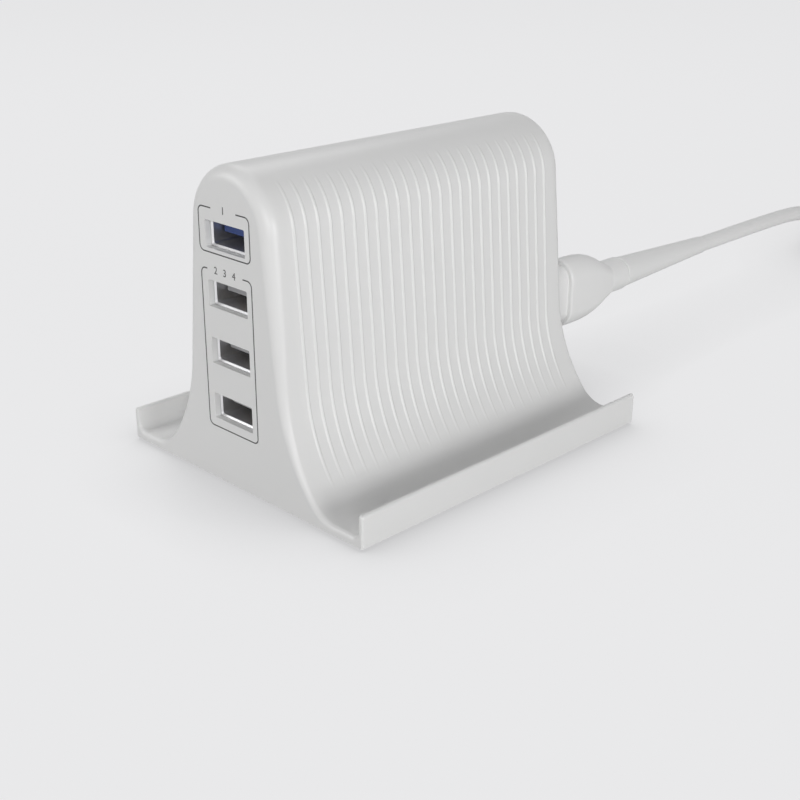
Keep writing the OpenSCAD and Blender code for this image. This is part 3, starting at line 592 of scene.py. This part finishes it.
def printed_text(words, x, z, name):
    select_only()
    bpy.ops.object.text_add(location=Vector((x, FRONT_Y - PRINT_T, z)) * MM, rotation=ALONG_Y)
    text = bpy.context.object
    text.data.body = words
    text.data.size = TEXT_SIZE * MM
    text.data.align_x = "CENTER"
    text.data.align_y = "CENTER"
    text.data.extrude = PRINT_T * MM
    text.data.resolution_u = 4
    select_only(text)
    bpy.ops.object.convert(target="MESH")
    settle(bpy.context.object)
    return dress(bpy.context.object, name, print_grey)


printed_text("1", -0.9, BASE_Z + 65.1, "print_number_high")
printed_text("2   3   4", -1.3, BASE_Z + 51.2, "print_number_low")

# %% [markdown]
# ## Sockets
# Each socket is a folded sheet-metal box, open at the front, with a plastic tongue inside. A block
# with its long edges rounded loses its two end faces and is the sheet's outside. Its front edge is
# extruded outwards into a rim, then in at a slant, as the sheet's edge is curled there, and on to
# the rear as the sheet's inside. A bridge between the two rear edges closes the sheet.

# %% Socket shells
SOCKET_W, SOCKET_H, SHEET_T, SOCKET_L, SOCKET_SETBACK = 12.5, 5.12, 0.3, 13.6, 1.5


RIM_L, RIM_FACE_L, RIM_CURL, SHEET_CORNER_R = 0.7, 0.2, 0.37, 0.6
RIM_OUTER, RIM_INNER = (6.70, 3.0), (6.62, 2.92)
INSIDE = (SOCKET_W / 2, SOCKET_H / 2)
# Each step of the sheet: how far it goes to the rear, and the half width and height it ends with.
SHEET_STEPS = (
    (RIM_FACE_L - RIM_L, RIM_OUTER), (-RIM_FACE_L, RIM_OUTER), (0, RIM_INNER),
    (RIM_CURL, INSIDE), (SOCKET_L - RIM_CURL, INSIDE),
)


def pick_edges_by_y(piece, test):
    """Selects the edges whose two ends both lie where the test says."""
    points = piece.data.vertices
    pick(piece, "edges", lambda edge: all(test(points[i].co.y) for i in edge.vertices))


def socket_shell(z, number):
    w, h = SOCKET_W / 2 + SHEET_T, SOCKET_H / 2 + SHEET_T
    front = FRONT_Y + SOCKET_SETBACK
    rear = front + SOCKET_L
    sheet = block((PORT_X - w, front + RIM_L, z - h), (PORT_X + w, rear, z + h),
                  1, SHEET_CORNER_R, 5)
    pick(sheet, "faces", lambda face: abs(face.normal.y) > 0.9)
    bpy.ops.mesh.delete(type="FACE")
    bpy.ops.object.mode_set(mode="OBJECT")
    pick_edges_by_y(sheet, lambda y: y < (front + RIM_L + 0.01) * MM)
    middle = Vector((PORT_X, 0, z)) * MM
    for run, (end_w, end_h) in SHEET_STEPS:
        bpy.ops.mesh.extrude_region_move(TRANSFORM_OT_translate={"value": (0, run * MM, 0)})
        bpy.ops.transform.resize(value=(end_w / w, 1, end_h / h), center_override=middle)
        w, h = end_w, end_h
    bpy.ops.object.mode_set(mode="OBJECT")
    pick_edges_by_y(sheet, lambda y: y > (rear - 0.01) * MM)
    bpy.ops.mesh.bridge_edge_loops()
    bpy.ops.mesh.select_all(action="SELECT")
    bpy.ops.mesh.normals_make_consistent(inside=False)
    bpy.ops.object.mode_set(mode="OBJECT")
    soften(sheet, 30)
    dress(sheet, f"socket_shell_{number}", socket_steel, [f"port_shell_{number}"])


for number, z in enumerate(PORT_Z, 1):
    socket_shell(z, number)

# %% [markdown]
# ## Plug on the charger's end
# The plug is one soft moulding over two contacts: a nose of two round ends with a slot along each
# side, a grip that swells and then narrows, a round collar and a long tapered strain relief.

# %% Nose of the plug
NOSE_W, NOSE_H, NOSE_L, NOSE_END_R, NOSE_EDGE_R = 7.8, 16.4, 15.2, 3.88, 0.5
PIN_PITCH, PIN_HOLE_R, PIN_HOLE_L, HOLE_PAST = 8.6, 1.45, 12, 2
NOSE_SLOT_L, NOSE_SLOT_HALF_H, NOSE_SLOT_DEPTH, NOSE_SLOT_END_R = 9, 1.5, 0.9, 0.9
nose = block((INLET_X - NOSE_W / 2, PLUG_FACE_Y, PLUG_Z - NOSE_H / 2),
             (INLET_X + NOSE_W / 2, PLUG_FACE_Y + NOSE_L, PLUG_Z + NOSE_H / 2), 1, NOSE_END_R, 12)
pick(nose, "faces", lambda f: f.normal.y < -0.9)
bpy.ops.mesh.bevel(offset=NOSE_EDGE_R * MM, segments=3, affect="EDGES")
bpy.ops.object.mode_set(mode="OBJECT")
for side in (-1, 1):
    hole_y = PLUG_FACE_Y + (PIN_HOLE_L - HOLE_PAST) / 2
    combine(nose, rod((INLET_X, hole_y, PLUG_Z + side * PIN_PITCH / 2),
                      PIN_HOLE_R, PIN_HOLE_L + HOLE_PAST))
    x = INLET_X + side * NOSE_W / 2
    low = (x - NOSE_SLOT_DEPTH, PLUG_FACE_Y - HOLE_PAST, PLUG_Z - NOSE_SLOT_HALF_H)
    high = (x + NOSE_SLOT_DEPTH, PLUG_FACE_Y + NOSE_SLOT_L, PLUG_Z + NOSE_SLOT_HALF_H)
    combine(nose, block(low, high, 0, NOSE_SLOT_END_R, 4))
soften(nose, 40)
dress(nose, "plug_nose_moulding", white_cord, ["plug_nose"])

# %% Grip of the plug
grip = loft((INLET_X, PLUG_Z), [
    (GRIP_Y, 9.4, 18.0), (GRIP_Y + 0.15, 10.0, 18.6), (GRIP_Y + 0.5, 10.5, 19.05),
    (GRIP_Y + 1.2, 10.6, 19.2),
    (GRIP_Y + 5, 10.6, 19.2), (GRIP_Y + 8, 10.6, 18.9), (GRIP_Y + 10.5, 10.6, 18.1),
    (GRIP_Y + 12.6, 10.5, 16.9), (GRIP_Y + 14.6, 10.35, 15.2), (GRIP_Y + 16.4, 10.1, 13.2),
    (GRIP_Y + 18, 9.8, 11.5), (GRIP_Y + 19.2, 9.5, 10.4), (COLLAR_Y, 9.3, 9.8),
], 56, 0.42)
soften(grip, 50)
dress(grip, "plug_grip_moulding", white_cord, ["plug_grip"])

# %% Collar and strain relief
relief = loft((INLET_X, PLUG_Z), [(COLLAR_Y + y, d, d) for y, d in (
    (0, 9.3), (0.3, 9.5), (0.8, 9.6), (7.2, 9.6), (7.5, 9.45), (7.7, 9.0), (7.75, 8.0), (8.15, 8.0),
    (8.2, 8.7), (8.4, 9.0), (9.0, 9.0), (12, 8.6), (18, 8.1), (26, 7.4), (34, 6.7), (42, 6.0),
    (48, 5.5), (51, 5.3), (51.8, 5.1), (52, 4.9))], 40)
soften(relief, 30)
dress(relief, "strain_relief_moulding", white_cord, ["strain_relief"])

# %% [markdown]
# ## Mains plug and tie
# At the far end sits a two-blade mains plug, a wedge-shaped moulding that swells towards its face.
# The coil is held by a fabric tie, a flat band that goes once round all its turns.

# %% Mains plug
MAINS_AT = Vector((17.0, 319.0, 8.5))
SQUARE_FROM, SQUARE_OVER, SQUARE_MOST = 4, 12, 1.19
plug = loft((0, 0), [
    (0, 6.6, 6.6), (0.4, 7.8, 7.6), (1.2, 8.6, 8.2), (4, 9.6, 9.0), (8, 12.6, 11.2), (12, 17.2, 13.6),
    (16, 21.6, 15.4), (20, 24.6, 16.5), (24, 25.8, 16.9), (30, 26, 17), (34, 26, 17),
    (35, 25.7, 16.8), (35.7, 24.9, 16.1), (36, 23.8, 15.2)], 56, 0.0)
points = plug.data.vertices
# The round sections turn into rounded oblongs towards the face, by a fourth-power oval.
for v in points:
    beside = [u.co for u in points if abs(u.co.y - v.co.y) < 1e-7]
    a = v.co.x / max(abs(u.x) for u in beside)
    b = v.co.z / max(abs(u.z) for u in beside)
    size = math.hypot(a, b)
    if size > 0.5:
        square = size / (abs(a / size) ** 4 + abs(b / size) ** 4) ** 0.25
        share = min(1, max(0, (v.co.y / MM - SQUARE_FROM) / SQUARE_OVER))
        grow = min(1 + share * (square - 1), SQUARE_MOST)
        v.co.x, v.co.z = v.co.x * grow, v.co.z * grow
turn = Matrix.Rotation(math.radians(-90), 4, "Z")
plug.data.transform(Matrix.Translation(MAINS_AT * MM) @ turn)
soften(plug, 40)
dress(plug, "mains_plug_moulding", white_cord, ["mains_plug_body"])

# %% Tie round the coil
TIE_ANGLE, TIE_OUTER_R, TIE_INNER_R = -60, 2.6, 2.1
tie = block((17.6, -4.5, 0.05), (39.2, 4.5, 11.1), 1, TIE_OUTER_R, 6)
combine(tie, block((18.2, -5.5, 0.6), (38.6, 5.5, 10.6), 1, TIE_INNER_R, 6))
turn = Matrix.Rotation(math.radians(TIE_ANGLE), 4, "Z")
tie.data.transform(Matrix.Translation(Vector((COIL_X, COIL_Y, 0)) * MM) @ turn)
soften(tie, 40)
dress(tie, "tie_band", tie_grey, ["coil_tie"])
tuple(Vector(route[0]) * MM)

# %% [markdown]
# ## Floor and light
# The picture has no horizon: the floor and the wall behind it are one pale grey. The floor takes
# most of its brightness from itself, for the camera's eye alone, and the rest from the lamps, so
# that the charger's soft shadow still lies on it. Close to the charger the floor's own glow is
# dimmed by an ambient-occlusion node: this darker ring is painted shadow, not cast by a lamp. What
# shines sees the same pale room as the camera does. The world gives an even light from all sides.
# A low lamp at the ribbed side leaves the tray dark behind its lip, a key lamp near the camera draws
# the ribs, and two more soften the front and the top.

# %% What the eye and mirrors see
def seen_ray(tree):
    """Adds nodes that give 1 for a ray from the camera, a reflection or a clear piece, else 0."""
    ray = tree.nodes.new("ShaderNodeLightPath")
    last = ray.outputs["Is Camera Ray"]
    for kind in ("Is Glossy Ray", "Is Transmission Ray"):
        either = tree.nodes.new("ShaderNodeMath")
        either.operation = "MAXIMUM"
        tree.links.new(last, either.inputs[0])
        tree.links.new(ray.outputs[kind], either.inputs[1])
        last = either.outputs[0]
    return last


# %% Floor
FLOOR_SIZE = 8
FLOOR_GLOW = (0.875, 0.875, 0.885)
FLOOR_MATT = (0.6, 0.6, 0.6)
GLOW_SHARE = 0.88
# Reach and depth of the painted shadow: the floor's own glow is dimmed where the charger is near.
SHADE_REACH, SHADE_FROM, SHADE_LOWEST = 0.03, 0.45, 0.72
select_only()
bpy.ops.mesh.primitive_plane_add(size=FLOOR_SIZE, location=(0, 0, 0))
floor = bpy.context.object
floor.name = "floor"
paint = bpy.data.materials.new("pale_floor")
paint.use_nodes = True
tree = paint.node_tree
tree.nodes.clear()
out = tree.nodes.new("ShaderNodeOutputMaterial")
# Ambient occlusion dims the floor's own glow near the charger: painted shadow.
near = tree.nodes.new("ShaderNodeAmbientOcclusion")
near.inputs["Distance"].default_value = SHADE_REACH
depth = tree.nodes.new("ShaderNodeMapRange")
depth.inputs["From Min"].default_value = SHADE_FROM
depth.inputs["To Min"].default_value = SHADE_LOWEST
depth.inputs["To Max"].default_value = 1.0
own = tree.nodes.new("ShaderNodeEmission")
own.inputs["Color"].default_value = (*FLOOR_GLOW, 1)
matt = tree.nodes.new("ShaderNodeBsdfDiffuse")
matt.inputs["Color"].default_value = (*FLOOR_MATT, 1)
both = tree.nodes.new("ShaderNodeMixShader")
amount = tree.nodes.new("ShaderNodeMath")
amount.operation = "MULTIPLY"
amount.inputs[1].default_value = GLOW_SHARE
tree.links.new(near.outputs["AO"], depth.inputs["Value"])
tree.links.new(depth.outputs["Result"], own.inputs["Strength"])
tree.links.new(seen_ray(tree), amount.inputs[0])
tree.links.new(amount.outputs[0], both.inputs[0])
tree.links.new(matt.outputs[0], both.inputs[1])
tree.links.new(own.outputs[0], both.inputs[2])
tree.links.new(both.outputs[0], out.inputs["Surface"])
floor.data.materials.append(paint)
print("floor across in metres:", FLOOR_SIZE)

# %% World
WORLD_COLOUR = (0.812, 0.812, 0.820)
WORLD_LIGHT, WORLD_SEEN = 0.22, 1.0
world = bpy.data.worlds.new("studio")
bpy.context.scene.world = world
world.use_nodes = True
tree = world.node_tree
back = tree.nodes["Background"]
plain = tree.nodes.new("ShaderNodeMix")
plain.data_type = "FLOAT"
plain.inputs[2].default_value = WORLD_LIGHT
plain.inputs[3].default_value = WORLD_SEEN
tree.links.new(seen_ray(tree), plain.inputs[0])
tree.links.new(plain.outputs[0], back.inputs["Strength"])
back.inputs["Color"].default_value = (*WORLD_COLOUR, 1)
print("world strength as light:", WORLD_LIGHT)

# %% Lamps
LAMP_AIM = Vector((0, 0, 0.04))


def lamp(name, place, size, power):
    """A square soft lamp that points at the charger."""
    light = bpy.data.lights.new(name, "AREA")
    light.shape = "RECTANGLE"
    light.size = light.size_y = size
    light.energy = power
    thing = bpy.data.objects.new(name, light)
    bpy.context.scene.collection.objects.link(thing)
    thing.location = place
    thing.rotation_euler = (LAMP_AIM - Vector(place)).to_track_quat("-Z", "Y").to_euler()
    print("lamp", name, "watts:", power)


lamp("key", (0.70, -0.72, 0.32), 0.45, 3.5)
lamp("side", (0.9, -0.1, 0.12), 0.4, 3.5)
lamp("front", (-0.6, -0.65, 0.4), 0.45, 2.5)
lamp("top", (-0.5, 0.35, 0.8), 0.6, 2.3)

# %% [markdown]
# ## View
# The Standard view shows each colour as it is written.

# %% View
bpy.context.scene.view_settings.view_transform = "Standard"
